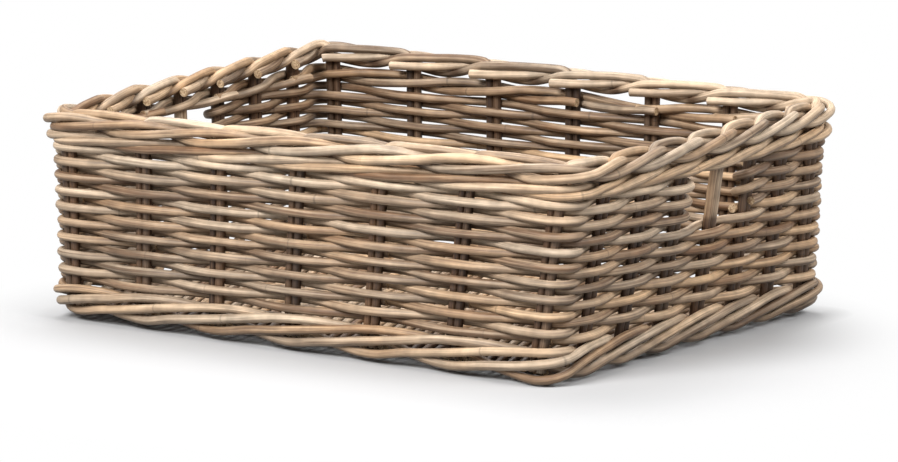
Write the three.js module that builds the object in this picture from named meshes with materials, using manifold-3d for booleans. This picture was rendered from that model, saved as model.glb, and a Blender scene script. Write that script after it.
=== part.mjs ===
// A shallow rectangular storage tray woven from round rattan rods.
// Pairs of upright stakes stand round the wall. Weavers pass in front of one pair and behind the
// next. A three-rod wale binds the foot and another the top, and the leading stake of each pair
// is turned down over its neighbours into a rolled border. The two short walls have hand holes,
// where the weavers turn back round the pairs beside the hole.
// Millimetres, +Z up, the long side along X, origin on the floor under the middle.
import * as THREE from "three";
import { mergeVertices } from "three/addons/utils/BufferGeometryUtils.js";
import Module from "manifold-3d";

const wasm = await Module();
wasm.setup();

// Driving dimensions
const WALL_LENGTH = 424;
const WALL_WIDTH = 319;
const CORNER_RADIUS = 11;
const SHORT_WALL_LEAN = 0.06;
const STAKE_DIAMETER = 5.4;
const WEAVER_DIAMETER = 5.4;
const BASE_STICK_DIAMETER = 5.4;
const BASE_WEAVER_DIAMETER = 4.4;
const CLEARANCE = 0.3;
const LONG_WALL_END_TO_STAKE = 13;
const SHORT_WALL_END_TO_STAKE = 30;
const STAKE_END_ABOVE_FLOOR = 7;
const FOOT_FLAT_DEPTH = 0.8;
const ROD_END_SETBACK = 1.3;
const BORDER_OVERHANG = 3;
const BASE_EDGE_GAP = 1.2;
const BASE_RIB_WALL = 1;

// Counts and angles of the weave
const STAKES_PER_WALL = 7;
const ROW_COUNT = 18;
const HANDLE_ROWS = 6;
const WALE_RODS = 3;
const WALE_FIRST_STAKE = 15;
const PAIR_CLOSENESS = 0.75;
const CORNER_ROOM_SHARE = 0.65;
const BORDER_TURN_PER_STAKE = THREE.MathUtils.degToRad(80);
const BORDER_START_ANGLE = THREE.MathUtils.degToRad(-60);
const BORDER_STEPS_PER_STAKE = 2;
const BORDER_SPAN_STEPS = 6;
const SHOULDER_OUT_SHARE = 1 / 3;
const SHOULDER_HEIGHT_SHARE = 0.6;
const BORDER_CORNER_BENDS = [0, 1 / 3, 2 / 3, 1];
const WEAVER_CORNER_BENDS = [1 / 2];
const TURN_ANGLES = [67.5, 22.5, -22.5, -67.5].map(THREE.MathUtils.degToRad);
const ROD_SIDES = 5;
const STICK_SIDES = 6;

// Finishes
const STAKE_COLOUR = 0x8a6f55;
const WEAVER_COLOUR = 0xb59a7c;
const WALE_COLOUR = 0xbfa587;
const BASE_COLOUR = 0xa88d70;
const RATTAN_ROUGHNESS = 0.6;

// The middle line of the wall at the floor is a rectangle with round corners, walked
// anticlockwise from the middle of the front wall. It repeats, turned half round, every half lap.
const STAKES_PER_HALF = 2 * STAKES_PER_WALL;
const STAKE_COUNT = 2 * STAKES_PER_HALF;
const STRAIGHT_X = WALL_LENGTH / 2 - CORNER_RADIUS;
const STRAIGHT_Y = WALL_WIDTH / 2 - CORNER_RADIUS;
const CORNER_LENGTH = (Math.PI / 2) * CORNER_RADIUS;
const RIGHT_WALL_START = STRAIGHT_X + CORNER_LENGTH;
const RIGHT_WALL_MIDDLE = RIGHT_WALL_START + STRAIGHT_Y;
const BACK_CORNER_START = RIGHT_WALL_START + 2 * STRAIGHT_Y;
const BACK_WALL_START = BACK_CORNER_START + CORNER_LENGTH;
const HALF_LAP = BACK_WALL_START + STRAIGHT_X;
const MIDDLE_STAKE = (STAKES_PER_WALL - 1) / 2;
const LONG_SPACING = (WALL_LENGTH / 2 - LONG_WALL_END_TO_STAKE) / MIDDLE_STAKE;
const SHORT_SPACING = (WALL_WIDTH / 2 - SHORT_WALL_END_TO_STAKE) / MIDDLE_STAKE;

// Sizes that follow from the rods and the clearance
const STAKE_RADIUS = STAKE_DIAMETER / 2;
const WEAVER_RADIUS = WEAVER_DIAMETER / 2;
const WALE_DIAMETER = WEAVER_DIAMETER;
const WALE_RADIUS = WALE_DIAMETER / 2;
const STICK_RADIUS = BASE_STICK_DIAMETER / 2;
const STAKE_OFFSET = PAIR_CLOSENESS * STAKE_RADIUS;
const ROW_PITCH = WEAVER_DIAMETER + CLEARANCE;
const WALE_PITCH = WALE_DIAMETER + CLEARANCE;
const WALE_HEIGHT = (WALE_RODS - 1) * WALE_PITCH + WALE_DIAMETER;

// Levels from the floor up
const FOOT_WALE_LOW = -FOOT_FLAT_DEPTH;
const FIRST_ROW = FOOT_WALE_LOW + WALE_HEIGHT + CLEARANCE + WEAVER_RADIUS;
const TOP_WALE_LOW = FIRST_ROW + (ROW_COUNT - 1) * ROW_PITCH + WEAVER_RADIUS + CLEARANCE;
const BORDER_LOW = TOP_WALE_LOW + WALE_HEIGHT + CLEARANCE;
const BORDER_STEP_ANGLE = BORDER_TURN_PER_STAKE / BORDER_STEPS_PER_STAKE;
const BORDER_RADIUS = (STAKE_DIAMETER + 2 * CLEARANCE)
  / (2 * Math.sin(BORDER_TURN_PER_STAKE / 2) * Math.cos(BORDER_STEP_ANGLE / 2));
const BORDER_FIRST_ANGLE = BORDER_START_ANGLE + BORDER_STEP_ANGLE / 2;
const BORDER_MIDDLE = BORDER_LOW + STAKE_RADIUS - BORDER_RADIUS * Math.sin(BORDER_FIRST_ANGLE);
const BASE_MIDDLE = FOOT_WALE_LOW + WALE_RADIUS + ((WALE_RODS - 1) / 2) * WALE_PITCH;

const WALL_NAMES = ["front", "right", "back", "left"];
const model = new THREE.Group();

// The place and outward direction at a distance along the wall's middle line
function wallFrame(along) {
  const halves = Math.floor(along / HALF_LAP);
  const rest = along - halves * HALF_LAP;
  let middle = new THREE.Vector2();
  let heading = 0;
  if (rest < STRAIGHT_X) {
    middle.set(rest, -WALL_WIDTH / 2);
  } else if (rest < RIGHT_WALL_START) {
    heading = (rest - STRAIGHT_X) / CORNER_RADIUS;
    middle.set(STRAIGHT_X, -STRAIGHT_Y);
    middle.add(new THREE.Vector2(Math.sin(heading), -Math.cos(heading)).multiplyScalar(CORNER_RADIUS));
  } else if (rest < BACK_CORNER_START) {
    heading = Math.PI / 2;
    middle.set(WALL_LENGTH / 2, rest - RIGHT_WALL_MIDDLE);
  } else if (rest < BACK_WALL_START) {
    heading = Math.PI / 2 + (rest - BACK_CORNER_START) / CORNER_RADIUS;
    middle.set(STRAIGHT_X, STRAIGHT_Y);
    middle.add(new THREE.Vector2(Math.sin(heading), -Math.cos(heading)).multiplyScalar(CORNER_RADIUS));
  } else {
    heading = Math.PI;
    middle.set(HALF_LAP - rest, WALL_WIDTH / 2);
  }
  const outward = new THREE.Vector2(Math.sin(heading), -Math.cos(heading));
  const facing = halves % 2 === 0 ? 1 : -1;
  return { middle: middle.multiplyScalar(facing), outward: outward.multiplyScalar(facing) };
}

// A point given by its distance along the wall, outward from its middle line, and height. The
// short walls lean out as they rise, and the long walls stretch with them.
function wallPoint({ along, out, height }) {
  const { middle, outward } = wallFrame(along);
  const stretch = 1 + (SHORT_WALL_LEAN * height) / (WALL_LENGTH / 2);
  return new THREE.Vector3((middle.x + out * outward.x) * stretch, middle.y + out * outward.y, height);
}

// The distance along the wall of a stake pair, counted from the left end of the front wall
function stakeAlong(index) {
  const halves = Math.floor(index / STAKES_PER_HALF);
  const rest = index - halves * STAKES_PER_HALF;
  const onFront = rest < STAKES_PER_WALL;
  const fromMiddle = (rest % STAKES_PER_WALL) - MIDDLE_STAKE;
  const along = onFront ? fromMiddle * LONG_SPACING : RIGHT_WALL_MIDDLE + fromMiddle * SHORT_SPACING;
  return along + halves * HALF_LAP;
}

// The distance along the wall at a part of the way from one stake pair to the next
function betweenStakes(place) {
  const index = Math.floor(place);
  const share = place - index;
  return stakeAlong(index) * (1 - share) + stakeAlong(index + 1) * share;
}

// The room from one stake pair to the next, less what a corner between them takes
function roomAfter(stake) {
  const from = stakeAlong(stake);
  const to = stakeAlong(stake + 1);
  const corners = cornerStations(from, to, WEAVER_CORNER_BENDS).length;
  return to - from - corners * CORNER_ROOM_SHARE * CORNER_LENGTH;
}

// How far out a slanting rod lies at a stake pair, so that it clears both of its stakes
function outPastStakes(radius, stake) {
  const apart = STAKE_RADIUS + radius + CLEARANCE;
  const halfRoom = Math.min(roomAfter(stake - 1), roomAfter(stake)) / 2;
  const slope = apart / Math.sqrt((halfRoom - STAKE_OFFSET) ** 2 - apart ** 2);
  return halfRoom * slope;
}

// Adds stations round each corner that a run of knots passes, so that the rod bends there
function bendAtCorners(knots, bends) {
  const stations = [knots[0]];
  for (let i = 1; i < knots.length; i += 1) {
    const from = knots[i - 1];
    const to = knots[i];
    cornerStations(from.along, to.along, bends).forEach((along) => {
      const share = (along - from.along) / (to.along - from.along);
      const out = THREE.MathUtils.lerp(from.out, to.out, share);
      const height = THREE.MathUtils.lerp(from.height, to.height, share);
      stations.push({ along, out, height });
    });
    stations.push(to);
  }
  return stations;
}

// Where the corners' bends lie strictly between two distances along the wall
function cornerStations(from, to, bends) {
  const found = [];
  const firstHalf = Math.floor(from / HALF_LAP) - 1;
  const lastHalf = Math.floor(to / HALF_LAP) + 1;
  for (let half = firstHalf; half <= lastHalf; half += 1) {
    [STRAIGHT_X, BACK_CORNER_START].forEach((cornerStart) => {
      bends.forEach((bend) => {
        const along = half * HALF_LAP + cornerStart + CORNER_LENGTH * bend;
        if (along > from + CLEARANCE && along < to - CLEARANCE) {
          found.push(along);
        }
      });
    });
  }
  return found;
}

// A rod's centre line: straight runs between stations, with each section square to the bend
class RodLine extends THREE.Curve {
  constructor(stations) {
    super();
    this.points = stations.map(wallPoint);
  }

  get segments() {
    return this.points.length - 1;
  }

  getPointAt(share, target = new THREE.Vector3()) {
    return target.copy(this.points[Math.round(share * this.segments)]);
  }

  getTangentAt(share, target = new THREE.Vector3()) {
    const index = Math.round(share * this.segments);
    const before = this.points[Math.max(index - 1, 0)];
    const here = this.points[index];
    const after = this.points[Math.min(index + 1, this.segments)];
    const arriving = here.clone().sub(before).normalize();
    const leaving = after.clone().sub(here).normalize();
    return target.copy(arriving.add(leaving)).normalize();
  }
}

// A round rod's section, with a few flat sides
function rodSection(radius) {
  const corners = [];
  for (let side = 0; side < ROD_SIDES; side += 1) {
    const angle = (2 * Math.PI * side) / ROD_SIDES;
    corners.push(new THREE.Vector2(radius * Math.cos(angle), radius * Math.sin(angle)));
  }
  return new THREE.Shape(corners);
}

function rodGeometry(stations, radius) {
  const line = new RodLine(stations);
  return new THREE.ExtrudeGeometry(rodSection(radius), { steps: line.segments, extrudePath: line });
}

function solid(geometry) {
  const bare = geometry.clone();
  bare.deleteAttribute("normal");
  bare.deleteAttribute("uv");
  const merged = mergeVertices(bare);
  const vertProperties = new Float32Array(merged.attributes.position.array);
  const triVerts = new Uint32Array(merged.index.array);
  return new wasm.Manifold(new wasm.Mesh({ numProp: 3, vertProperties, triVerts }));
}

function geometryOf(body) {
  const mesh = body.getMesh();
  const geometry = new THREE.BufferGeometry();
  geometry.setAttribute("position", new THREE.BufferAttribute(mesh.vertProperties, 3));
  geometry.setIndex(new THREE.BufferAttribute(mesh.triVerts, 1));
  geometry.computeVertexNormals();
  return geometry;
}

function addPiece(name, geometry, color) {
  const material = new THREE.MeshStandardMaterial({ color, roughness: RATTAN_ROUGHNESS, metalness: 0 });
  const mesh = new THREE.Mesh(geometry, material);
  mesh.name = name;
  model.add(mesh);
}

// One row passes in front of a stake pair when row and stake are both odd or both even
function rowSide(row, stake) {
  return (row + stake) % 2 === 0 ? 1 : -1;
}

function rowHeight(row) {
  return FIRST_ROW + row * ROW_PITCH;
}

// The knot where a weaver passes a stake pair, shifted along where the weaver ends there
function weaverKnot(row, stake, shift = 0) {
  const out = rowSide(row, stake) * outPastStakes(WEAVER_RADIUS, stake);
  return { along: stakeAlong(stake) + shift, out, height: rowHeight(row) };
}

// A full row is one rod, whose two ends meet behind a stake pair in the back wall
function fullRow(row) {
  const first = STAKES_PER_HALF + 2 + ((row + 1) % 2);
  const last = first + STAKE_COUNT;
  const knots = [weaverKnot(row, first, ROD_END_SETBACK)];
  for (let stake = first + 1; stake < last; stake += 1) {
    knots.push(weaverKnot(row, stake));
  }
  knots.push(weaverKnot(row, last, -ROD_END_SETBACK));
  return bendAtCorners(knots, WEAVER_CORNER_BENDS);
}

// The turn of a weaver round the outer stake of a pair, up to the next row
function turnBack(row, stake, forward) {
  const apart = STAKE_RADIUS + WEAVER_RADIUS + CLEARANCE;
  const reach = apart / Math.cos((TURN_ANGLES[0] - TURN_ANGLES[1]) / 2);
  const side = rowSide(row, stake);
  const heading = forward ? 1 : -1;
  return TURN_ANGLES.map((angle, index) => ({
    along: stakeAlong(stake) + heading * (STAKE_OFFSET + reach * Math.cos(angle)),
    out: side * reach * Math.sin(angle),
    height: rowHeight(row + (index + 1) / (TURN_ANGLES.length + 1)),
  }));
}

// Between the hand holes one weaver runs to and fro, turning back round the pair at each hole
function handleRows(firstStake, lastStake) {
  const stations = [];
  for (let step = 0; step < HANDLE_ROWS; step += 1) {
    const row = ROW_COUNT - HANDLE_ROWS + step;
    const knots = [];
    for (let stake = firstStake; stake <= lastStake; stake += 1) {
      knots.push(weaverKnot(row, stake));
    }
    const run = bendAtCorners(knots, WEAVER_CORNER_BENDS);
    const forward = step % 2 === 0;
    stations.push(...(forward ? run : run.reverse()));
    if (step < HANDLE_ROWS - 1) {
      stations.push(...turnBack(row, forward ? lastStake : firstStake, forward));
    }
  }
  return stations;
}

// A wale rod climbs in front of all but one of each set of pairs, then drops behind that one
function waleRod(rod, bottom) {
  const low = bottom + WALE_RADIUS;
  const first = WALE_FIRST_STAKE + rod;
  const sets = Math.floor(STAKE_COUNT / WALE_RODS);
  const last = first + sets * WALE_RODS;
  const behind = low + ((WALE_RODS - 1) / 2) * WALE_PITCH;
  const outAt = (stake) => outPastStakes(WALE_RADIUS, stake);
  const knots = [{ along: stakeAlong(first) + ROD_END_SETBACK, out: -outAt(first), height: behind }];
  for (let stake = first; stake < last; stake += WALE_RODS) {
    const end = stake + WALE_RODS;
    const rise = (place) => low + (place - stake - 0.5) * WALE_PITCH;
    knots.push({ along: betweenStakes(stake + 0.5), out: 0, height: low });
    for (let front = stake + 1; front < end; front += 1) {
      knots.push({ along: stakeAlong(front), out: outAt(front), height: rise(front) });
    }
    knots.push({ along: betweenStakes(end - 0.5), out: 0, height: rise(end - 0.5) });
    const meeting = end === last ? -ROD_END_SETBACK : 0;
    knots.push({ along: stakeAlong(end) + meeting, out: -outAt(end), height: behind });
  }
  return bendAtCorners(knots, WEAVER_CORNER_BENDS);
}

// The leading stake of a pair rises, then winds outward, up, over and down inside the border
function borderStake(stake) {
  const along = stakeAlong(stake) + STAKE_OFFSET;
  const bendHeight = BORDER_LOW - STAKE_RADIUS;
  const upright = [
    { along, out: 0, height: STAKE_END_ABOVE_FLOOR },
    { along, out: 0, height: bendHeight },
  ];
  const winding = [];
  for (let step = 0; step <= BORDER_SPAN_STEPS; step += 1) {
    const turns = (step + 0.5) / BORDER_STEPS_PER_STAKE;
    const angle = BORDER_START_ANGLE + turns * BORDER_TURN_PER_STAKE;
    const out = BORDER_OVERHANG + BORDER_RADIUS * Math.cos(angle);
    const height = BORDER_MIDDLE + BORDER_RADIUS * Math.sin(angle);
    winding.push({ along: betweenStakes(stake + turns), out, height });
  }
  const shoulder = {
    along: along + STAKE_RADIUS / 2,
    out: winding[0].out * SHOULDER_OUT_SHARE,
    height: THREE.MathUtils.lerp(bendHeight, winding[0].height, SHOULDER_HEIGHT_SHARE),
  };
  return [...upright, ...bendAtCorners([shoulder, ...winding], BORDER_CORNER_BENDS)];
}

// The second stake of a pair is cut off under the border
function shortStake(stake) {
  const along = stakeAlong(stake) - STAKE_OFFSET;
  return [
    { along, out: 0, height: STAKE_END_ABOVE_FLOOR },
    { along, out: 0, height: BORDER_LOW - CLEARANCE },
  ];
}

function addStakes() {
  for (let stake = 0; stake < STAKE_COUNT; stake += 1) {
    const wall = WALL_NAMES[Math.floor(stake / STAKES_PER_WALL)];
    const number = (stake % STAKES_PER_WALL) + 1;
    const leading = solid(rodGeometry(borderStake(stake), STAKE_RADIUS));
    const second = solid(rodGeometry(shortStake(stake), STAKE_RADIUS));
    addPiece(`${wall}_stake_pair_${number}`, geometryOf(leading.add(second)), STAKE_COLOUR);
  }
}

function addWeavers() {
  for (let row = 0; row < ROW_COUNT - HANDLE_ROWS; row += 1) {
    const weaver = rodGeometry(fullRow(row), WEAVER_RADIUS);
    addPiece(`wall_weaver_${row + 1}`, weaver, WEAVER_COLOUR);
  }
  const besideHole = STAKES_PER_WALL + MIDDLE_STAKE - 1;
  const front = handleRows(besideHole + 2 - STAKES_PER_HALF, besideHole);
  const back = handleRows(besideHole + 2, besideHole + STAKES_PER_HALF);
  addPiece("handle_weaver_front", rodGeometry(front, WEAVER_RADIUS), WEAVER_COLOUR);
  addPiece("handle_weaver_back", rodGeometry(back, WEAVER_RADIUS), WEAVER_COLOUR);
}

// The foot wale is pared flat underneath, where the tray stands
function addWales() {
  const floor = new THREE.BoxGeometry(2 * WALL_LENGTH, 2 * WALL_WIDTH, WALE_DIAMETER);
  floor.translate(0, 0, -WALE_DIAMETER / 2);
  const below = solid(floor);
  for (let rod = 0; rod < WALE_RODS; rod += 1) {
    const foot = solid(rodGeometry(waleRod(rod, FOOT_WALE_LOW), WALE_RADIUS));
    const top = rodGeometry(waleRod(rod, TOP_WALE_LOW), WALE_RADIUS);
    addPiece(`foot_wale_rod_${rod + 1}`, geometryOf(foot.subtract(below)), WALE_COLOUR);
    addPiece(`top_wale_rod_${rod + 1}`, top, WALE_COLOUR);
  }
}

function stickGeometry(radius, length) {
  const stick = new THREE.CylinderGeometry(radius, radius, length, STICK_SIDES);
  return stick.rotateZ(Math.PI / 2);
}

// The ribbed outline of the base mat, seen along its weavers
function baseOutline(halfLength) {
  const valley = STICK_RADIUS + CLEARANCE + BASE_RIB_WALL;
  const ridge = STICK_RADIUS + CLEARANCE + BASE_WEAVER_DIAMETER;
  const ribs = Math.round(halfLength / BASE_WEAVER_DIAMETER);
  const pitch = (2 * halfLength) / ribs;
  const upper = [];
  for (let rib = 0; rib < ribs; rib += 1) {
    upper.push(new THREE.Vector2(-halfLength + rib * pitch, valley));
    upper.push(new THREE.Vector2(-halfLength + (rib + 0.5) * pitch, ridge));
  }
  upper.push(new THREE.Vector2(halfLength, valley));
  const lower = upper.map((point) => new THREE.Vector2(point.x, -point.y)).reverse();
  return new THREE.Shape([...upper, ...lower].reverse());
}

// Base sticks run the length of the tray, in line with the short walls' stakes, inside the mat
function addBase() {
  const innerFace = outPastStakes(WALE_RADIUS, STAKES_PER_WALL) + WALE_RADIUS + CLEARANCE;
  const stickLength = WALL_LENGTH - 2 * innerFace;
  const halfLength = stickLength / 2 - BASE_EDGE_GAP;
  const width = WALL_WIDTH - 2 * innerFace - 2 * BASE_EDGE_GAP;
  const mat = new THREE.ExtrudeGeometry(baseOutline(halfLength), { depth: width, bevelEnabled: false });
  mat.rotateX(Math.PI / 2).translate(0, width / 2, BASE_MIDDLE);
  let woven = solid(mat);
  for (let number = 0; number < STAKES_PER_WALL; number += 1) {
    const aside = (number - MIDDLE_STAKE) * SHORT_SPACING;
    const tunnel = stickGeometry(STICK_RADIUS + CLEARANCE, WALL_LENGTH).translate(0, aside, BASE_MIDDLE);
    woven = woven.subtract(solid(tunnel));
    const stick = stickGeometry(STICK_RADIUS, stickLength).translate(0, aside, BASE_MIDDLE);
    addPiece(`base_stick_${number + 1}`, stick, BASE_COLOUR);
  }
  addPiece("base_weave", geometryOf(woven), BASE_COLOUR);
}

addStakes();
addWeavers();
addWales();
addBase();

export default model;
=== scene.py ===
# Dresses the woven tray: every rod is drawn along its route through the weave.
import math
import random

import bpy
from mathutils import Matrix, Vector


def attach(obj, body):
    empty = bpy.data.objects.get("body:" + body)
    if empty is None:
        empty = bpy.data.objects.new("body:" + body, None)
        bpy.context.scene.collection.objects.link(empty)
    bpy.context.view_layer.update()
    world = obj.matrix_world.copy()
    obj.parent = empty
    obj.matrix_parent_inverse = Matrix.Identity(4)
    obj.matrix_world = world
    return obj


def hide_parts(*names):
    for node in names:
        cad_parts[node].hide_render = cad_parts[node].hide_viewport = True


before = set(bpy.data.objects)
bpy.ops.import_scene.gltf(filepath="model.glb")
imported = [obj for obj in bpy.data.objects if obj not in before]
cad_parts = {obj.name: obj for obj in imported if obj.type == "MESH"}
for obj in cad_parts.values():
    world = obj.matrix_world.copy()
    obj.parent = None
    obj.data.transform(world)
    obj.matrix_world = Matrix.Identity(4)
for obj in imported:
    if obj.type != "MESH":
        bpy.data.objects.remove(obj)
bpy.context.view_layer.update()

# The wall and its weave, in millimetres, fitted to the photograph
MM = 0.001
WALL_LENGTH = 432
WALL_WIDTH = 319
CORNER_RADIUS = 11
LONG_WALL_END_TO_STAKE = 13
SHORT_WALL_START_TO_STAKE = 34
SHORT_WALL_STAKE_TO_END = 20
LONG_WALL_DRIFT = -7
SHORT_WALL_DRIFT = 5
STAKES_PER_WALL = 7
PAIR_HALF = 3.1
ROW_COUNT = 18
HANDLE_ROWS = 6
ROW_PITCH = 5.43
SAG = 2.2
SAG_ROWS = 5
WEAVE_OUT = 4.9
LONG_SPAN_FLATNESS = 0.5
WALE_PITCH = 6.3
WALE_OUT = 6.0
WALE_FIRST_STAKE = 15
SAMPLE = 4.0

# Radii of the rods
STAKE_RADIUS = 2.85
BORDER_RADIUS = 3.25
WEAVER_RADIUS = 3.1
WALE_RADIUS = 3.05
FOOT_RADIUS = 3.1
STICK_RADIUS = 2.7
BASE_WEAVER_RADIUS = 2.4

# Heights above the floor
FOOT_WALE = 5.9
BASE_LEVEL = 9.6
STAKE_BOTTOM = 10.5
FIRST_ROW = 33.1
TOP_WALE = 130.1
BORDER_LEVEL = 144.1
SHORT_STAKE_TOP = BORDER_LEVEL + 4.0

# Joins: the rods of a row or a wale, and how far their ends lie beside each other
RODS_PER_ROW = [2, 2, 3]
ROW_JOIN_SPREAD = 3
WALE_JOINS = [2, 5]
WALE_JOIN_SPREAD = 2
HANDLE_JOINS = [0.3, 0.65]
END_RUN = 9.0
JOIN_RUN = 42.0
JOIN_SHIFT = 3.5

# The turn round the stake beside a hand hole
TURN_GAP = 0.1
TURN_STEPS = 8

# The base
BASE_WEAVER_PITCH = 4.5
BASE_OVERLAP = 1.0
BASE_END_GAP = 3.0

# The leading stake's bend above its pair: distance along, outward, height above the border's level
BORDER_BEND = [
    (0, 0, 3),
    (0.8, -0.1, 7.8),
    (4.6, -0.7, 10.4),
]

# Its way through the border: stakes passed, outward, height above the border's level
BORDER_ROUTE = [
    (0.3, -1.6, 10.8),
    (0.6, -3.8, 10.4),
    (0.9, -5.2, 9.2),
    (1.1, -5, 7.4),
    (1.3, -2.8, 3.2),
    (1.5, 1, 0),
    (1.75, 5.5, -1),
    (2, 7.5, 0.3),
    (2.4, 8, 3.6),
    (2.8, 7.5, 7.4),
    (3, 6, 8.4),
    (3.2, 3, 7.8),
    (3.5, -3, 5.2),
    (3.8, -6.5, 3.4),
    (4.2, -9.5, 2),
]

# A wale rod's stroke over three or four stakes: stakes passed, outward share, height in rod pitches
TOP_STROKE = [
    (0.5, 0, 0.2),
    (1, 1, 0.25),
    (1.5, 1.08, 0.65),
    (2, 1, 1.1),
    (2.5, 0, 1.25),
    (3, -1, 0.75),
]
FOOT_STROKE = [
    (0.45, 0.1, 0.73),
    (1, 0.65, 0),
    (1.5, 1.05, 0.75),
    (2, 1.05, 1.5),
    (2.5, 1.1, 2.25),
    (3, 1, 2.86),
    (3.5, 0.45, 2.86),
    (4, -1, 1.9),
]

# How untrue the tray is at its corners, in the order front left, front right, back left, back right
CORNER_LEANS = (-0.035, 0.14, -0.03, 0.05)
CORNER_SHIFTS = (0.0, 0.0, 0.0, 6.0)
CORNER_TUCKS = (5.0, 0.0, 5.0, 9.0)
RIM_RISES = (-6.0, -1.5, 3.0, 0.5)
FOOT_RISES = (2.0, 0.0, -2.0, 1.6)
LEAN_LEVEL = 71.5
LEAN_RIGHT_MIDDLE = 0.07
TUCK_RUN = 18.0
RIM_RISE_FROM = 118.5
RIM_RISE_RUN = 36.0
FOOT_RISE_FROM = 6.0
FOOT_RISE_RUN = 14.0
FRONT_RIGHT_DROP = 2.0
FRONT_RIGHT_SHARPNESS = 8

# Painted shade, from dark in the crevices to none on the crests, by distance out and by height, with more
# near the floor and at the base's edges
LIT_FROM = 0.4
LIT_RUN = 3.4
WOVEN_LIT = 0.8
STAKE_LIT = 0.05
BORDER_LIT_FROM = BORDER_LEVEL + 2.0
BORDER_LIT_RUN = 5.0
HOLE_HEIGHTS = (92.5, 129.5)
GROUND_LIT = 0.5
GROUND_RUN = 20.0
BASE_LIT = 0.95
EDGE_LIT = 0.05
EDGE_RUN = 50.0

# How the rods vary, with lengths in metres
SEED = 11
THICKNESS_SPREAD = 0.07
ROD_STEP = 0.0028
ROD_SIDES = 12
BASE_SIDES = 8
WARP = 0.0011
WARP_SCALE = 11.0
WOBBLE = 0.00035
WOBBLE_SCALE = 26.0
UNEVENNESS = 0.07
UNEVENNESS_SCALE = 14.0
RING_SPACING = 0.17
RING_LEAST_SHARE = 0.7
RING_SPREAD = 0.6
RING_PLACE = 0.5
RING_REACH = 0.0022
RING_SWELLING = 0.08
SIDE_FACE_CORNERS = 4.5

# How far each rod's seed moves its own pattern along it
MARK_SHIFT = 7.0
RING_SHIFT = 0.9
UNEVENNESS_SHIFT = 31.0
WOBBLE_SHIFT = 53.0
GRAIN_SHIFT = 40.0

# The rattan's patterns: noise is about one half on average, and the stretch takes it to one either way
NOISE_MIDDLE = 0.5
NOISE_STRETCH = 2.0
LITTLE_DETAIL = 1.0
SOME_DETAIL = 2.0
FULL_DETAIL = 3.0
GRAIN_LENGTHWISE = 16.0
STREAK_ROUND = 1.6
FIBRE_ROUND = 8.0
BLOTCH_SCALE = 16.0
MOTTLE_SCALE = 110.0
PORE_SCALE = 900.0
ROD_WARMTH = 0.9
BLOTCH_WARMTH = 1.1
ROD_LIGHTNESS = 0.8
STREAK_LIGHTNESS = 2.0
LEAST_LIGHTNESS = 0.1
MEAN_LEVEL = 0.94
FIBRE_LEVEL = 1.4
BLOTCH_LEVEL = 0.4
MOTTLE_LEVEL = 0.75
RING_LINE_FROM = 0.55
RING_LINE_SHARPNESS = 4.0
RING_LINE_DARKNESS = 0.34
# Painted shade on the rods' undersides
UNDERSIDE_FROM = 0.15
UNDERSIDE_SHARPNESS = 1.3
UNDERSIDE_PAINTED_SHADE = 0.5
# How the fibres break up the edge of the painted shade
FIBRE_LIT = 0.3
PORE_FROM = 0.35
PORE_SHARPNESS = 3.0
LEAST_ROUGHNESS = 0.42
FIBRE_ROUGHNESS = 0.3
FIBRE_BUMP = 0.6
STREAK_BUMP = 0.4
RING_BUMP = 0.5
BUMP_STRENGTH = 0.5
BUMP_DISTANCE = 0.0004
SPECULAR_LEVEL = 0.45

# The rattan's colours as they show on a screen, and each finish's brightness
COOL_DARK = (106, 85, 66)
COOL_LIGHT = (210, 189, 164)
WARM_DARK = (118, 84, 56)
WARM_LIGHT = (208, 173, 134)
END_DARK = (136, 106, 76)
END_LIGHT = (204, 180, 146)
# The tint that painted shade multiplies into the crevices
PAINTED_SHADE_TINT = (0.2, 0.14, 0.1, 1.0)
# The stakes' finish is a little darker, as painted shade on the stakes that stand back in the weave
STAKE_PAINTED_SHADE = 0.95
WEAVER_SHADE = 1.0
WALE_SHADE = 1.0
BASE_SHADE = 1.05

# The floor, in metres: it shows the shadow near the tray and fades into the white background
WHITE = (1.0, 1.0, 1.0, 1.0)
FLOOR_SIZE = 12.0
FLOOR_COLOUR = (0.51, 0.51, 0.515, 1.0)
FLOOR_BOUNCE = (0.42, 0.42, 0.42, 1.0)
FADE_CENTRE = (0.05, -0.1, 0.0)
FADE_START = 0.24
FADE_LENGTH = 0.13
TRAY_HALF = (0.216, 0.16, 0.0)
SHADOW_REACH = 0.03

# Soft studio light, and lamps by name, place, size and power
WORLD_COLOUR = (1.0, 0.99, 0.97, 1.0)
WORLD_STRENGTH = 0.12
LAMPS = [
    ("key", (-0.1, -1.8, 1.4), 1.0, 64.0),
    ("top", (-0.6, 0.5, 1.8), 1.4, 27.0),
    ("right", (1.8, -0.1, 1.8), 1.4, 50.0),
]

# The photograph's view, fitted to its rows, stakes and edges
IMAGE_WIDTH = 898
FOCAL_PIXELS = 6000
SENSOR_WIDTH = 36.0
CAMERA_AZIMUTH = 34.88
CAMERA_ELEVATION = 10.37
CAMERA_DISTANCE = 4.2745
CAMERA_RIGHT = 0.0095
CAMERA_UP = 0.06013
CAMERA_REACH = 60.0

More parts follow.
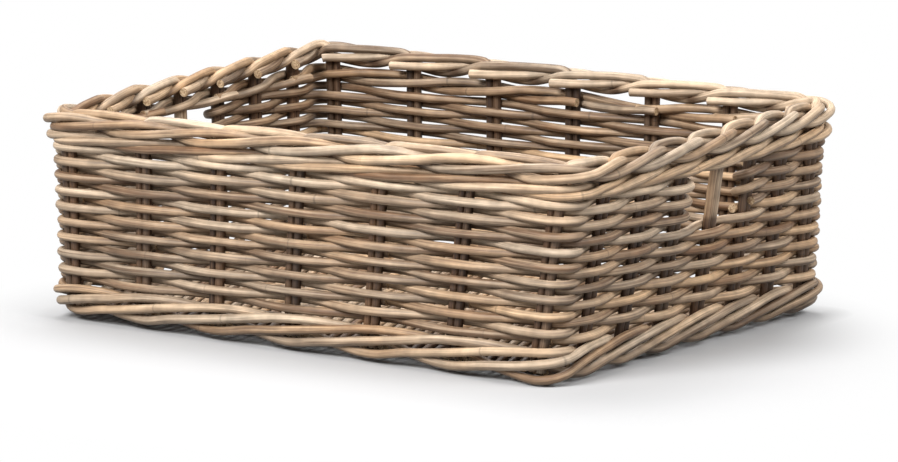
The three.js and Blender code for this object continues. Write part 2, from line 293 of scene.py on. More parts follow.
# What follows from the sizes above
WALL_NAMES = ["front", "right", "back", "left"]
STAKES_PER_HALF = 2 * STAKES_PER_WALL
STAKE_COUNT = 2 * STAKES_PER_HALF
STRAIGHT_X = WALL_LENGTH / 2 - CORNER_RADIUS
STRAIGHT_Y = WALL_WIDTH / 2 - CORNER_RADIUS
CORNER_LENGTH = math.pi / 2 * CORNER_RADIUS
RIGHT_WALL_START = STRAIGHT_X + CORNER_LENGTH
RIGHT_WALL_MIDDLE = RIGHT_WALL_START + STRAIGHT_Y
BACK_CORNER_START = RIGHT_WALL_START + 2 * STRAIGHT_Y
BACK_WALL_START = BACK_CORNER_START + CORNER_LENGTH
HALF_LAP = BACK_WALL_START + STRAIGHT_X
MIDDLE_STAKE = (STAKES_PER_WALL - 1) // 2
LONG_SPACING = (WALL_LENGTH / 2 - LONG_WALL_END_TO_STAKE) / MIDDLE_STAKE
SHORT_REACH = WALL_WIDTH - SHORT_WALL_START_TO_STAKE - SHORT_WALL_STAKE_TO_END
SHORT_SPACING = SHORT_REACH / (STAKES_PER_WALL - 1)
SHORT_SHIFT = (SHORT_WALL_START_TO_STAKE - SHORT_WALL_STAKE_TO_END) / 2

# The first stake of each half of the wall between the hand holes
BESIDE_HOLE = STAKES_PER_WALL + MIDDLE_STAKE + 1
HALF_STARTS = {"front": BESIDE_HOLE - STAKES_PER_HALF, "back": BESIDE_HOLE}

draw = random.Random(SEED)


# The wall's middle line, walked anticlockwise from the middle of the front wall
def wall_frame(along):
    halves, rest = divmod(along, HALF_LAP)
    heading = 0.0
    if rest < STRAIGHT_X:
        x, y = rest, -WALL_WIDTH / 2
    elif rest < RIGHT_WALL_START:
        heading = (rest - STRAIGHT_X) / CORNER_RADIUS
        x = STRAIGHT_X + CORNER_RADIUS * math.sin(heading)
        y = -STRAIGHT_Y - CORNER_RADIUS * math.cos(heading)
    elif rest < BACK_CORNER_START:
        heading = math.pi / 2
        x, y = WALL_LENGTH / 2, rest - RIGHT_WALL_MIDDLE
    elif rest < BACK_WALL_START:
        heading = math.pi / 2 + (rest - BACK_CORNER_START) / CORNER_RADIUS
        x = STRAIGHT_X + CORNER_RADIUS * math.sin(heading)
        y = STRAIGHT_Y - CORNER_RADIUS * math.cos(heading)
    else:
        heading = math.pi
        x, y = HALF_LAP - rest, WALL_WIDTH / 2
    facing = 1 if halves % 2 == 0 else -1
    return facing * x, facing * y, facing * math.sin(heading), -facing * math.cos(heading)


def wall_point(along, out, height):
    x, y, out_x, out_y = wall_frame(along)
    return leaned(x + out * out_x, y + out * out_y, height)


def corner_blend(corners, across, back):
    front_left, front_right, back_left, back_right = corners
    front = front_left + (front_right - front_left) * (1 + across) / 2
    rear = back_left + (back_right - back_left) * (1 + across) / 2
    return front + (rear - front) * (1 + back) / 2


# Moves a point of a true tray to where it is in the hand-made one, in metres
def leaned(x, y, height):
    across = 2 * x / WALL_LENGTH
    back = 2 * y / WALL_WIDTH
    lean = corner_blend(CORNER_LEANS, across, back)
    lean += LEAN_RIGHT_MIDDLE * (1 + across) / 2 * max(0.0, 1 - back * back)
    tuck = corner_blend(CORNER_TUCKS, across, back) * (across * back) ** 2
    tuck *= 1 - smooth_step(height / TUCK_RUN)
    moved = lean * (height - LEAN_LEVEL) + corner_blend(CORNER_SHIFTS, across, back)
    moved -= math.copysign(tuck, x)
    raised = height + rise_at(across, back, height)
    return Vector((x + moved, y - math.copysign(tuck, y), raised)) * MM


# The rim isn't level, and the foot stands on its front right and back left corners
def rise_at(across, back, height):
    high = smooth_step((height - RIM_RISE_FROM) / RIM_RISE_RUN)
    low = 1 - smooth_step((height - FOOT_RISE_FROM) / FOOT_RISE_RUN)
    front_right = max(0.0, (1 + across) * (1 - back) / 4)
    drop = FRONT_RIGHT_DROP * front_right ** FRONT_RIGHT_SHARPNESS
    foot = corner_blend(FOOT_RISES, across, back) - drop
    return corner_blend(RIM_RISES, across, back) * high + foot * low


def stake_along(index):
    halves, rest = divmod(index, STAKES_PER_HALF)
    wall, number = divmod(rest, STAKES_PER_WALL)
    from_middle = number - MIDDLE_STAKE
    on_short = RIGHT_WALL_MIDDLE + SHORT_SHIFT + from_middle * SHORT_SPACING
    along = from_middle * LONG_SPACING if wall == 0 else on_short
    drift = LONG_WALL_DRIFT if wall == 0 else SHORT_WALL_DRIFT
    along += drift * (1 - (from_middle / MIDDLE_STAKE) ** 2)
    return along + halves * HALF_LAP


def between_stakes(place):
    index = math.floor(place)
    share = place - index
    return stake_along(index) * (1 - share) + stake_along(index + 1) * share


def smooth_step(share):
    share = min(max(share, 0.0), 1.0)
    return share * share * (3 - 2 * share)


# A smooth line through knots given as (along, out, height)
def smooth_run(knots):
    points = [Vector(knot) for knot in knots]
    times = [0.0]
    for before, after in zip(points, points[1:]):
        times.append(times[-1] + (after - before).length)
    slopes = []
    for index in range(len(points)):
        low = max(index - 1, 0)
        high = min(index + 1, len(points) - 1)
        slopes.append((points[high] - points[low]) / (times[high] - times[low]))
    run = [points[0]]
    for index in range(len(points) - 1):
        span = times[index + 1] - times[index]
        steps = max(2, round(span / SAMPLE))
        ends = points[index : index + 2]
        end_slopes = slopes[index : index + 2]
        for step in range(1, steps + 1):
            run.append(hermite(ends, end_slopes, span, step / steps))
    return run


def hermite(ends, slopes, span, share):
    square = share * share
    cube = square * share
    start = ends[0] * (2 * cube - 3 * square + 1) + slopes[0] * span * (cube - 2 * square + share)
    finish = ends[1] * (3 * square - 2 * cube) + slopes[1] * span * (cube - square)
    return start + finish


# A rod is its line, its painted shade along the line and the marks that are its own
def rod(run, radius, least=WOVEN_LIT, bare=False):
    return {
        "points": [wall_point(*place) for place in run],
        "lit_share": [max(least, lit_share_at(out, height, bare)) * shade_near_floor(height) for _, out, height in run],
        **own_marks(radius),
    }


def own_marks(radius):
    return {
        "radius": radius * MM * (1 + THICKNESS_SPREAD * draw.uniform(-1, 1)),
        "tone": draw.random(),
        "warmth": draw.random(),
        "seed": draw.random(),
    }


# Painted shade: rods are darkened where they cross near the wall's middle, but not on the outer crests,
# above the border or where a stake shows in a hand hole
def lit_share_at(out, height, bare):
    crest = smooth_step((abs(out) - LIT_FROM) / LIT_RUN)
    above = smooth_step((height - BORDER_LIT_FROM) / BORDER_LIT_RUN)
    low, high = HOLE_HEIGHTS
    seen = 1.0 if bare and low < height < high else 0.0
    return max(crest, above, seen)


# Rods near the floor get painted shade, darker towards the floor
def shade_near_floor(height):
    return GROUND_LIT + (1 - GROUND_LIT) * smooth_step(height / GROUND_RUN)


# At a join the new rod starts beside the old one's end and slips into its place
def beside(run, start, side):
    shifted = []
    for along, out, height in run:
        share = smooth_step((along - start) / JOIN_RUN)
        shifted.append(Vector((along, out + side * JOIN_SHIFT * (1 - share), height)))
    return shifted


def row_side(row, stake):
    return -1 if (row + stake) % 2 == 0 else 1


# The lowest rows sag
def row_height(row):
    return FIRST_ROW + row * ROW_PITCH - SAG * max(0.0, 1 - row / SAG_ROWS)


# A row swings from side to side, and stays longer beside a stake where the stakes stand far apart
def weave_out(row, place):
    index = math.floor(place)
    swing = math.cos(math.pi * (place - index))
    span = stake_along(index + 1) - stake_along(index)
    flat = LONG_SPAN_FLATNESS * smooth_step((span - SHORT_SPACING) / (LONG_SPACING - SHORT_SPACING))
    swing += flat * (math.sin(math.pi / 2 * swing) - swing)
    return row_side(row, index) * WEAVE_OUT * swing


# The run of one row between two places, counted in stakes
def weave_run(row, start, finish):
    run = []
    steps = max(2, round(abs(between_stakes(finish) - between_stakes(start)) / SAMPLE))
    for step in range(steps + 1):
        place = start + (finish - start) * step / steps
        run.append(Vector((between_stakes(place), weave_out(row, place), row_height(row))))
    return run


def stakes_for(length, stake):
    return length / (stake_along(stake + 1) - stake_along(stake))


# A full row is two or three rods, each starting beside the last one's end
def full_row(row):
    count = draw.choice(RODS_PER_ROW)
    first = draw.randrange(STAKE_COUNT)
    joins = []
    for part in range(count):
        join = first + round(STAKE_COUNT * part / count) + draw.randrange(ROW_JOIN_SPREAD)
        joins.append(join if row_side(row, join) < 0 else join + 1)
    joins.append(joins[0] + STAKE_COUNT)
    rods = []
    for start, finish in zip(joins, joins[1:]):
        begin = start - stakes_for(END_RUN, start - 1)
        end = finish + stakes_for(END_RUN, finish)
        run = weave_run(row, begin, end)
        rods.append(rod(beside(run, between_stakes(begin), row_side(row, start)), WEAVER_RADIUS))
    return rods


# The topmost of the single rows stops beside each hand hole
def broken_row(row):
    rods = []
    for first in HALF_STARTS.values():
        last = first + STAKES_PER_HALF - 2
        begin = first - stakes_for(END_RUN, first - 1)
        end = last + stakes_for(END_RUN, last)
        rods.append(rod(weave_run(row, begin, end), WEAVER_RADIUS))
    return rods


# Round the stake at the edge of a hand hole, up to the next row
def turn_back(row, stake, forward):
    heading = 1 if forward else -1
    side = row_side(row, stake)
    reach = STAKE_RADIUS + WEAVER_RADIUS + TURN_GAP
    turns = []
    for step in range(1, TURN_STEPS):
        share = step / TURN_STEPS
        angle = math.pi * (0.5 - share)
        along = stake_along(stake) + heading * (PAIR_HALF + reach * math.cos(angle))
        turns.append(Vector((along, side * reach * math.sin(angle), row_height(row + share))))
    return turns


# To and fro over the upper rows of one half of the wall
def handle_weaver(first, last):
    run = []
    for step in range(HANDLE_ROWS):
        row = ROW_COUNT - HANDLE_ROWS + step
        forward = step % 2 == 0
        passage = weave_run(row, first, last)
        run.extend(passage if forward else reversed(passage))
        if step < HANDLE_ROWS - 1:
            run.extend(turn_back(row, last if forward else first, forward))
    return split_rods(run, HANDLE_JOINS)


# Cuts a long run into rods that meet end to end
def split_rods(run, shares):
    cuts = [0] + [round(len(run) * share) for share in shares] + [len(run) - 1]
    return [rod(run[start : finish + 1], WEAVER_RADIUS) for start, finish in zip(cuts, cuts[1:])]


# A wale rod passes in front of two or three stakes and behind the next, in rods joined inside the wall
def wale(number, level, stroke, radius):
    strokes = STAKE_COUNT // stroke[-1][0]
    first = WALE_FIRST_STAKE + number
    joins = [join + draw.randrange(WALE_JOIN_SPREAD) for join in WALE_JOINS]
    joins = [0, *joins, strokes]
    rods = []
    for start, finish in zip(joins, joins[1:]):
        knots = wale_knots(first, start, finish, level, stroke)
        rods.append(rod(beside(smooth_run(knots), knots[0][0], -1), radius))
    return rods


def wale_knots(first, start, finish, level, stroke):
    stakes = stroke[-1][0]
    start_along = stake_along(first + start * stakes)
    behind = level + stroke[-1][2] * WALE_PITCH
    knots = [(start_along - END_RUN, -WALE_OUT, behind), (start_along, -WALE_OUT, behind)]
    for step in range(start, finish):
        stake = first + step * stakes
        for passed, share, lift in stroke:
            knots.append((between_stakes(stake + passed), share * WALE_OUT, level + lift * WALE_PITCH))
    knots.append((knots[-1][0] + END_RUN, -WALE_OUT, behind))
    return knots


# The leading stake rises, bends over its neighbour and is wound into the border
def border_stake(stake, bare):
    along = stake_along(stake) + PAIR_HALF
    knots = [(along, 0.0, STAKE_BOTTOM), (along, 0.0, BORDER_LEVEL / 2)]
    for ahead, out, lift in BORDER_BEND:
        knots.append((along + ahead, out, BORDER_LEVEL + lift))
    for passed, out, lift in BORDER_ROUTE:
        knots.append((between_stakes(stake + passed), out, BORDER_LEVEL + lift))
    return pale_tip(rod(smooth_run(knots), BORDER_RADIUS, STAKE_LIT, bare))


def short_stake(stake, bare):
    along = stake_along(stake) - PAIR_HALF
    run = smooth_run([(along, 0.0, STAKE_BOTTOM), (along, 0.0, SHORT_STAKE_TOP)])
    return pale_tip(rod(run, STAKE_RADIUS, STAKE_LIT, bare))


# A stake's lowest point gets no painted shade
def pale_tip(stake):
    stake["lit_share"][0] = 1.0
    return stake


# The base: sticks along the tray and rods woven across them
def base_stick(number):
    aside = (number - MIDDLE_STAKE) * SHORT_SPACING
    reach = WALL_LENGTH / 2 - WALE_OUT + BASE_OVERLAP
    # The sticks' ends near the walls get painted shade
    places = (-reach, EDGE_RUN - reach, reach - EDGE_RUN, reach)
    return {
        "points": [leaned(x, aside, BASE_LEVEL) for x in places],
        "lit_share": [EDGE_LIT, BASE_LIT, BASE_LIT, EDGE_LIT],
        **own_marks(STICK_RADIUS),
    }


def base_weaver(number, x):
    reach = WALL_WIDTH / 2 - WALE_OUT + BASE_OVERLAP
    lift = STICK_RADIUS + BASE_WEAVER_RADIUS
    end_gap = WALL_LENGTH / 2 - abs(x)
    steps = round(2 * reach / SAMPLE)
    points = []
    lit_share = []
    for step in range(steps + 1):
        y = -reach + 2 * reach * step / steps
        wave = math.cos(math.pi * (y / SHORT_SPACING + number))
        points.append(leaned(x, y, BASE_LEVEL + lift * wave))
        # Painted shade on the base near the walls
        inside = smooth_step((min(reach - abs(y), end_gap) - WALE_OUT) / EDGE_RUN)
        lit_share.append(EDGE_LIT + (BASE_LIT - EDGE_LIT) * inside)
    return {"points": points, "lit_share": lit_share, **own_marks(BASE_WEAVER_RADIUS)}


def base_weavers():
    reach = WALL_LENGTH / 2 - WALE_OUT - BASE_END_GAP
    count = round(2 * reach / BASE_WEAVER_PITCH)
    return [base_weaver(number, -reach + 2 * reach * number / count) for number in range(count + 1)]


# Node sums written as Python expressions
class Flow:
    def __init__(self, tree, source):
        self.tree = tree
        self.source = source

    def sum(self, operation, first, second):
        return self.tree.math(operation, {0: first, 1: second})

    def __add__(self, other):
        return self.sum("ADD", self, other)

    def __radd__(self, other):
        return self.sum("ADD", other, self)

    def __sub__(self, other):
        return self.sum("SUBTRACT", self, other)

    def __rsub__(self, other):
        return self.sum("SUBTRACT", other, self)

    def __mul__(self, other):
        return self.sum("MULTIPLY", self, other)

    def __rmul__(self, other):
        return self.sum("MULTIPLY", other, self)

    def __truediv__(self, other):
        return self.sum("DIVIDE", self, other)


# Adds nodes to one tree, of any type by its settings and its sockets' values or links
class Tree:
    def __init__(self, tree):
        self.tree = tree

    def node(self, kind, settings=None, inputs=None, output=0):
        made = self.tree.nodes.new(kind)
        for name, value in (settings or {}).items():
            setattr(made, name, value)
        for key, value in (inputs or {}).items():
            if isinstance(value, Flow):
                self.tree.links.new(value.source, made.inputs[key])
            else:
                made.inputs[key].default_value = value
        return Flow(self, made.outputs[output])

    def link(self, flow, socket):
        self.tree.links.new(flow.source, socket)

    def math(self, operation, inputs):
        return self.node("ShaderNodeMath", {"operation": operation}, inputs)

    def vector(self, operation, inputs, output=0):
        return self.node("ShaderNodeVectorMath", {"operation": operation}, inputs, output)

    def shifted(self, first, second):
        return self.vector("ADD", {0: first, 1: second})

    def apart(self, first, second):
        return self.vector("SUBTRACT", {0: first, 1: second})

    def scaled(self, first, factor):
        return self.vector("SCALE", {0: first, "Scale": factor})

    def length(self, vector):
        return self.vector("LENGTH", {0: vector}, "Value")

    def clamp(self, value):
        return self.node("ShaderNodeClamp", {}, {0: value})

    # A Mix node's colours go in at sockets 6 and 7 and come out at 2
    def mix(self, factor, first, second, blend="MIX"):
        settings = {"data_type": "RGBA", "blend_type": blend}
        return self.node("ShaderNodeMix", settings, {0: factor, 6: first, 7: second}, 2)

    def mix_shader(self, factor, first, second):
        return self.node("ShaderNodeMixShader", {}, {0: factor, 1: first, 2: second})

    def noise(self, place, scale, detail, output=0):
        inputs = {"Vector": place, "Scale": scale, "Detail": detail}
        return self.node("ShaderNodeTexNoise", {}, inputs, output)

    def noise_along(self, place, scale, output=0):
        inputs = {"W": place, "Scale": scale, "Detail": LITTLE_DETAIL}
        return self.node("ShaderNodeTexNoise", {"noise_dimensions": "1D"}, inputs, output)

    def place(self):
        return self.node("ShaderNodeTexCoord", {}, {}, "Object")


# Noise turned into a change either way, of about the given size
def change(noise, size):
    return (noise - NOISE_MIDDLE) * size


# The tree that turns lines into rods: uneven thickness, ring marks, cut ends
ROD_INPUTS = [
    ("Rods", "NodeSocketGeometry"),
    ("Step", "NodeSocketFloat"),
    ("Sides", "NodeSocketInt"),
    ("Warp", "NodeSocketFloat"),
    ("Wobble", "NodeSocketFloat"),
    ("Unevenness", "NodeSocketFloat"),
    ("Ring spacing", "NodeSocketFloat"),
    ("Ring swelling", "NodeSocketFloat"),
    ("Finish", "NodeSocketMaterial"),
]


def rod_tree():
    group = bpy.data.node_groups.new("rattan_rods", "GeometryNodeTree")
    group.is_modifier = True
    for name, kind in ROD_INPUTS:
        group.interface.new_socket(name=name, in_out="INPUT", socket_type=kind)
    group.interface.new_socket(name="Mesh", in_out="OUTPUT", socket_type="NodeSocketGeometry")
    tree = Tree(group)
    entry = group.nodes.new("NodeGroupInput")
    given = {name: Flow(tree, entry.outputs[name]) for name, _ in ROD_INPUTS}
    line = tree.node("GeometryNodeMeshToCurve", {}, {0: given["Rods"]})
    spaced = {"Curve": line, "Length": given["Step"]}
    line = tree.node("GeometryNodeResampleCurve", {"mode": "LENGTH"}, spaced)
    seed = named(tree, "rod_seed")
    along = tree.node("GeometryNodeSplineParameter", {}, {}, "Length")
    line = stored(tree, line, "rod_along", along + seed * MARK_SHIFT)
    line = bent_line(tree, line, given, along, seed)
    ring = ring_marks(tree, given, along, seed)
    line = stored(tree, line, "rod_ring", ring)
    mesh = swept_rods(tree, line, given, rod_radius(tree, given, along, seed, ring))
    mesh = tree.node("GeometryNodeRealizeInstances", {}, {0: mesh})
    mesh = tree.node("GeometryNodeSetMaterial", {}, {"Geometry": mesh, "Material": given["Finish"]})
    leave = group.nodes.new("NodeGroupOutput")
    tree.link(mesh, leave.inputs[0])
    return group


def named(tree, name):
    return tree.node("GeometryNodeInputNamedAttribute", {"data_type": "FLOAT"}, {"Name": name})


def stored(tree, geometry, name, value, kind="FLOAT", domain="POINT"):
    settings = {"data_type": kind, "domain": domain}
    inputs = {0: geometry, "Name": name, "Value": value}
    return tree.node("GeometryNodeStoreNamedAttribute", settings, inputs)


# Neighbouring rods lean together, and each rod has a small wobble of its own
def bent_line(tree, line, given, along, seed):
    middle = (NOISE_MIDDLE, NOISE_MIDDLE, NOISE_MIDDLE)
    place = tree.node("GeometryNodeInputPosition")
    together = tree.apart(tree.noise(place, WARP_SCALE, LITTLE_DETAIL, "Color"), middle)
    alone = tree.apart(tree.noise_along(along + seed * WOBBLE_SHIFT, WOBBLE_SCALE, "Color"), middle)
    shared = tree.scaled(together, given["Warp"] * NOISE_STRETCH)
    own = tree.scaled(alone, given["Wobble"] * NOISE_STRETCH)
    moved = {"Geometry": line, "Offset": tree.shifted(shared, own)}
    return tree.node("GeometryNodeSetPosition", {}, moved)


# One at a ring and nothing beyond its reach, with each rod's rings spaced in its own way
def ring_marks(tree, given, along, seed):
    spacing = given["Ring spacing"] * (RING_LEAST_SHARE + RING_SPREAD * seed)
    part = tree.math("FRACT", {0: (along + seed * RING_SHIFT) / spacing})
    from_ring = tree.math("ABSOLUTE", {0: part - RING_PLACE}) * spacing
    return tree.clamp(1.0 - from_ring / RING_REACH)


def rod_radius(tree, given, along, seed, ring):
    uneven = tree.noise_along(along + seed * UNEVENNESS_SHIFT, UNEVENNESS_SCALE)
    thickness = (uneven - NOISE_MIDDLE) * given["Unevenness"] * NOISE_STRETCH
    return named(tree, "rod_radius") * (1.0 + thickness + ring * given["Ring swelling"])


# Cut ends have more corners than the faces along a rod
def swept_rods(tree, line, given, radius):
    circle = {"Resolution": given["Sides"], "Radius": 1.0}
    section = tree.node("GeometryNodeCurvePrimitiveCircle", {}, circle)
    round_place = tree.node("GeometryNodeInputPosition")
    section = stored(tree, section, "rod_round", round_place, "FLOAT_VECTOR")
    sweep = {"Curve": line, "Profile Curve": section, "Scale": radius, "Fill Caps": True}
    mesh = tree.node("GeometryNodeCurveToMesh", {}, sweep)
    corners = tree.node("GeometryNodeInputMeshFaceNeighbors")
    is_cut = tree.math("GREATER_THAN", {0: corners, 1: SIDE_FACE_CORNERS})
    mesh = stored(tree, mesh, "rod_cut", is_cut, "FLOAT", "FACE")
    upward = tree.node("ShaderNodeSeparateXYZ", {}, {0: tree.node("GeometryNodeInputNormal")}, "Z")
    mesh = stored(tree, mesh, "rod_up", upward)
    smooth = {"Geometry": mesh, "Shade Smooth": 1.0 - is_cut}
    return tree.node("GeometryNodeSetShadeSmooth", {}, smooth)


# A screen colour as the linear one that shaders read
def linear(colour):
    return tuple(((value / 255 + 0.055) / 1.055) ** 2.4 for value in colour) + (1.0,)


# A rod's mark as a number, which is the third output of its node
def mark(tree, name):
    return tree.node("ShaderNodeAttribute", {"attribute_name": name}, {}, 2)


def mark_vector(tree, name):
    return tree.node("ShaderNodeAttribute", {"attribute_name": name}, {}, "Vector")


# Peeled rattan: its colour differs from rod to rod and runs in streaks along each
def rattan(name, shade):
    material = bpy.data.materials.new(name)
    material.use_nodes = True
    tree = Tree(material.node_tree)
    shader = material.node_tree.nodes["Principled BSDF"]
    streak, fibre = grain(tree)
    ring_line = tree.clamp((mark(tree, "rod_ring") - RING_LINE_FROM) * RING_LINE_SHARPNESS)
    colour = peeled_colour(tree, streak, fibre, ring_line, shade)
    colour = tree.mix(mark(tree, "rod_cut"), colour, cut_colour(tree))
    tree.link(colour, shader.inputs["Base Color"])
    tree.link(LEAST_ROUGHNESS + fibre * FIBRE_ROUGHNESS, shader.inputs["Roughness"])
    height = fibre * FIBRE_BUMP + streak * STREAK_BUMP + ring_line * RING_BUMP
    relief = {"Strength": BUMP_STRENGTH, "Distance": BUMP_DISTANCE, "Height": height}
    tree.link(tree.node("ShaderNodeBump", {}, relief), shader.inputs["Normal"])
    shader.inputs["Specular IOR Level"].default_value = SPECULAR_LEVEL
    return material


# Broad streaks and fine fibres, both drawn out along the rod
def grain(tree):
    around = mark_vector(tree, "rod_round")
    shift = mark(tree, "rod_seed") * GRAIN_SHIFT
    lengthwise = mark(tree, "rod_along") * GRAIN_LENGTHWISE
    drawn_out = tree.node("ShaderNodeCombineXYZ", {}, {0: shift, 1: 0.0, 2: lengthwise})
    streak = tree.noise(tree.shifted(tree.scaled(around, STREAK_ROUND), drawn_out), 1.0, FULL_DETAIL)
    fibre = tree.noise(tree.shifted(tree.scaled(around, FIBRE_ROUND), drawn_out), 1.0, SOME_DETAIL)
    return streak, fibre


def peeled_colour(tree, streak, fibre, ring_line, shade):
    blotch = tree.noise(tree.place(), BLOTCH_SCALE, FULL_DETAIL)
    mottle = tree.noise(tree.place(), MOTTLE_SCALE, SOME_DETAIL)
    warm_share = tree.clamp(mark(tree, "rod_warmth") * ROD_WARMTH + change(blotch, BLOTCH_WARMTH))
    lightness = mark(tree, "rod_tone") * ROD_LIGHTNESS + change(streak, STREAK_LIGHTNESS)
    light_share = tree.clamp(lightness + LEAST_LIGHTNESS)
    cool = tree.mix(light_share, linear(COOL_DARK), linear(COOL_LIGHT))
    warm = tree.mix(light_share, linear(WARM_DARK), linear(WARM_LIGHT))
    colour = tree.mix(warm_share, cool, warm)
    level = MEAN_LEVEL + change(fibre, FIBRE_LEVEL)
    level = level + change(blotch, BLOTCH_LEVEL) + change(mottle, MOTTLE_LEVEL)
    # Painted shade: each rod is darker where its surface faces down
    underside_shade = tree.clamp((UNDERSIDE_FROM - mark(tree, "rod_up")) * UNDERSIDE_SHARPNESS)
    level = shade * level * (1.0 - ring_line * RING_LINE_DARKNESS) * (1.0 - underside_shade * UNDERSIDE_PAINTED_SHADE)
    colour = tree.scaled(colour, level)
    # Painted shade: where a rod's lit share is low, its colour is multiplied by the shade tint
    lit = tree.clamp(mark(tree, "rod_lit_share") + change(fibre, FIBRE_LIT))
    return tree.mix(lit, tree.mix(1.0, colour, PAINTED_SHADE_TINT, "MULTIPLY"), colour)


def cut_colour(tree):
    pores = tree.noise(tree.place(), PORE_SCALE, LITTLE_DETAIL)
    return tree.mix(tree.clamp((pores - PORE_FROM) * PORE_SHARPNESS), linear(END_DARK), linear(END_LIGHT))


# The lines of a piece's rods, with each rod's marks on its points
def lines_mesh(name, rods):
    points = []
    edges = []
    marks = {"radius": [], "tone": [], "warmth": [], "seed": [], "lit_share": []}
    for made in rods:
        first = len(points)
        points.extend(made["points"])
        edges.extend((index, index + 1) for index in range(first, len(points) - 1))
        for key, values in marks.items():
            value = made[key]
            values.extend(value if key == "lit_share" else [value] * len(made["points"]))
    mesh = bpy.data.meshes.new(name)
    mesh.from_pydata(points, edges, [])
    for key, values in marks.items():
        mesh.attributes.new("rod_" + key, "FLOAT", "POINT").data.foreach_set("value", values)
    return mesh


# One piece from a list of rods, in place of a node of the part
def piece(node, rods, finish, sides=ROD_SIDES):
    name = node + "_rods"
    made = bpy.data.objects.new(name, lines_mesh(name, rods))
    bpy.context.scene.collection.objects.link(made)
    modifier = made.modifiers.new("rods", "NODES")
    modifier.node_group = ROD_TREE
    values = {
        "Step": ROD_STEP,
        "Sides": sides,
        "Warp": WARP,
        "Wobble": WOBBLE,
        "Unevenness": UNEVENNESS,
        "Ring spacing": RING_SPACING,
        "Ring swelling": RING_SWELLING,
        "Finish": finish,
    }
    for item in ROD_TREE.interface.items_tree:
        if item.in_out == "INPUT" and item.name in values:
            modifier[item.identifier] = values[item.name]
    bpy.context.view_layer.update()
    evaluated = made.evaluated_get(bpy.context.evaluated_depsgraph_get())
    drawn = bpy.data.meshes.new_from_object(evaluated)
    made.modifiers.clear()
    made.data = drawn
    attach(made, "root")
    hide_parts(node)


ROD_TREE = rod_tree()
STAKE_FINISH = rattan("stake_rattan_finish", STAKE_PAINTED_SHADE)
WEAVER_FINISH = rattan("weaver_rattan_finish", WEAVER_SHADE)
WALE_FINISH = rattan("wale_rattan_finish", WALE_SHADE)
BASE_FINISH = rattan("base_rattan_finish", BASE_SHADE)


def make_stakes():
    for stake in range(STAKE_COUNT):
        wall, number = divmod(stake, STAKES_PER_WALL)
        bare = wall % 2 == 1 and number == MIDDLE_STAKE
        rods = [border_stake(stake, bare), short_stake(stake, bare)]
        piece(f"{WALL_NAMES[wall]}_stake_pair_{number + 1}", rods, STAKE_FINISH)


def make_weavers():
    full_rows = ROW_COUNT - HANDLE_ROWS
    for row in range(full_rows):
        rods = broken_row(row) if row == full_rows - 1 else full_row(row)
        piece(f"wall_weaver_{row + 1}", rods, WEAVER_FINISH)
    for side, first in HALF_STARTS.items():
        rods = handle_weaver(first, first + STAKES_PER_HALF - 2)
        piece(f"handle_weaver_{side}", rods, WEAVER_FINISH)


# The foot has one rod more than the part's source, drawn with its third rod
def make_wales():
    foot = [[0], [1], [2, 3]]
    top = [[0], [1], [2]]
    for name, level, stroke, radius, groups in (
        ("foot", FOOT_WALE, FOOT_STROKE, FOOT_RADIUS, foot),
        ("top", TOP_WALE, TOP_STROKE, WALE_RADIUS, top),
    ):
        for index, numbers in enumerate(groups):
            rods = [made for number in numbers for made in wale(number, level, stroke, radius)]
            piece(f"{name}_wale_rod_{index + 1}", rods, WALE_FINISH)


def make_base():
    for number in range(STAKES_PER_WALL):
        rods = [base_stick(number)]
        piece(f"base_stick_{number + 1}", rods, BASE_FINISH, BASE_SIDES)
    piece("base_weave", base_weavers(), BASE_FINISH, BASE_SIDES)


def make_floor():
    mesh = bpy.data.meshes.new("floor")
    half = FLOOR_SIZE / 2
    corners = [(-half, -half, 0), (half, -half, 0), (half, half, 0), (-half, half, 0)]
    mesh.from_pydata(corners, [], [(0, 1, 2, 3)])
    floor = bpy.data.objects.new("floor", mesh)
    bpy.context.scene.collection.objects.link(floor)
    mesh.materials.append(floor_finish())


# One for what the camera, a reflection or glass shows, and nothing for other light
def seen_directly(tree):
    camera_ray = tree.node("ShaderNodeLightPath", {}, {}, "Is Camera Ray")
    glossy_ray = tree.node("ShaderNodeLightPath", {}, {}, "Is Glossy Ray")
    through_ray = tree.node("ShaderNodeLightPath", {}, {}, "Is Transmission Ray")
    return tree.clamp(camera_ray + glossy_ray + through_ray)


# White away from the shadow's middle, but not within reach of the tray's foot
def floor_fade(tree):
    far = tree.length(tree.apart(tree.place(), FADE_CENTRE))
    fade = tree.clamp((far - FADE_START) / FADE_LENGTH)
    mirrored = tree.vector("ABSOLUTE", {0: tree.place()})
    beyond = tree.vector("MAXIMUM", {0: tree.apart(mirrored, TRAY_HALF), 1: (0.0, 0.0, 0.0)})
    clear = tree.clamp(tree.length(beyond) / SHADOW_REACH)
    return fade * fade * (3.0 - 2.0 * fade) * clear


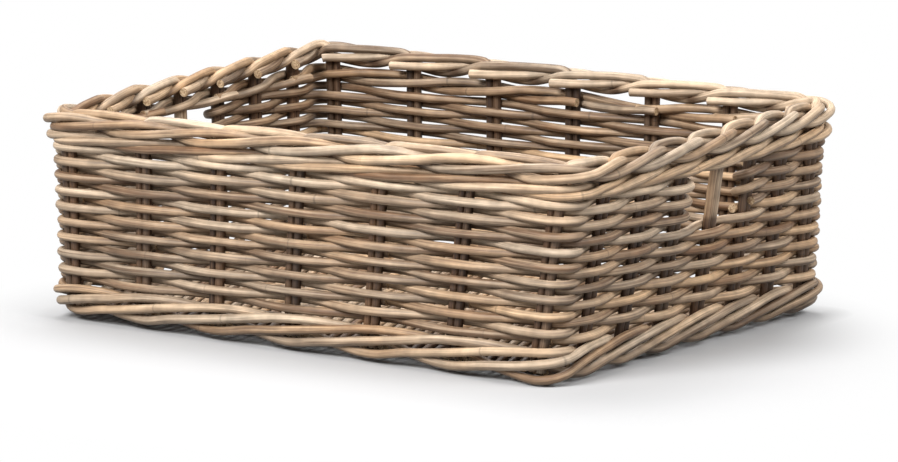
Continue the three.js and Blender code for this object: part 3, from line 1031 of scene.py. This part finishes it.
def floor_finish():
    material = bpy.data.materials.new("pale_floor")
    material.use_nodes = True
    nodes = material.node_tree.nodes
    nodes.remove(nodes["Principled BSDF"])
    tree = Tree(material.node_tree)
    seen = seen_directly(tree)
    shown = tree.node("ShaderNodeBsdfDiffuse", {}, {"Color": FLOOR_COLOUR})
    bounced = tree.node("ShaderNodeBsdfDiffuse", {}, {"Color": FLOOR_BOUNCE})
    matte = tree.mix_shader(seen, bounced, shown)
    white = tree.node("ShaderNodeEmission", {}, {"Color": WHITE, "Strength": 1.0})
    surface = tree.mix_shader(floor_fade(tree) * seen, matte, white)
    tree.link(surface, nodes["Material Output"].inputs["Surface"])
    return material


def make_world():
    world = bpy.data.worlds.new("studio")
    bpy.context.scene.world = world
    world.use_nodes = True
    nodes = world.node_tree.nodes
    nodes.remove(nodes["Background"])
    tree = Tree(world.node_tree)
    light = tree.node("ShaderNodeBackground", {}, {"Color": WORLD_COLOUR, "Strength": WORLD_STRENGTH})
    white = tree.node("ShaderNodeBackground", {}, {"Color": WHITE, "Strength": 1.0})
    surface = tree.mix_shader(seen_directly(tree), light, white)
    tree.link(surface, nodes["World Output"].inputs["Surface"])


def make_lamps():
    for name, place, size, power in LAMPS:
        data = bpy.data.lights.new(name, "AREA")
        data.size = size
        data.energy = power
        lamp = bpy.data.objects.new(name, data)
        lamp.location = place
        lamp.rotation_mode = "QUATERNION"
        lamp.rotation_quaternion = (-Vector(place)).to_track_quat("-Z", "Y")
        bpy.context.scene.collection.objects.link(lamp)


def make_camera():
    azimuth = math.radians(CAMERA_AZIMUTH)
    elevation = math.radians(CAMERA_ELEVATION)
    level = math.cos(elevation)
    back = Vector((math.sin(azimuth) * level, -math.cos(azimuth) * level, math.sin(elevation)))
    right = Vector((math.cos(azimuth), math.sin(azimuth), 0.0))
    up = back.cross(right)
    data = bpy.data.cameras.new("photo_view")
    data.sensor_width = SENSOR_WIDTH
    data.lens = FOCAL_PIXELS * SENSOR_WIDTH / IMAGE_WIDTH
    data.clip_end = CAMERA_REACH
    camera = bpy.data.objects.new("photo_view", data)
    camera.location = back * CAMERA_DISTANCE + right * CAMERA_RIGHT + up * CAMERA_UP
    camera.rotation_mode = "QUATERNION"
    camera.rotation_quaternion = (-back).to_track_quat("-Z", "Y")
    bpy.context.scene.collection.objects.link(camera)
    bpy.context.scene.camera = camera


make_camera()
make_stakes()
make_weavers()
make_wales()
make_base()
make_floor()
make_world()
make_lamps()
bpy.context.scene.view_settings.view_transform = "Standard"
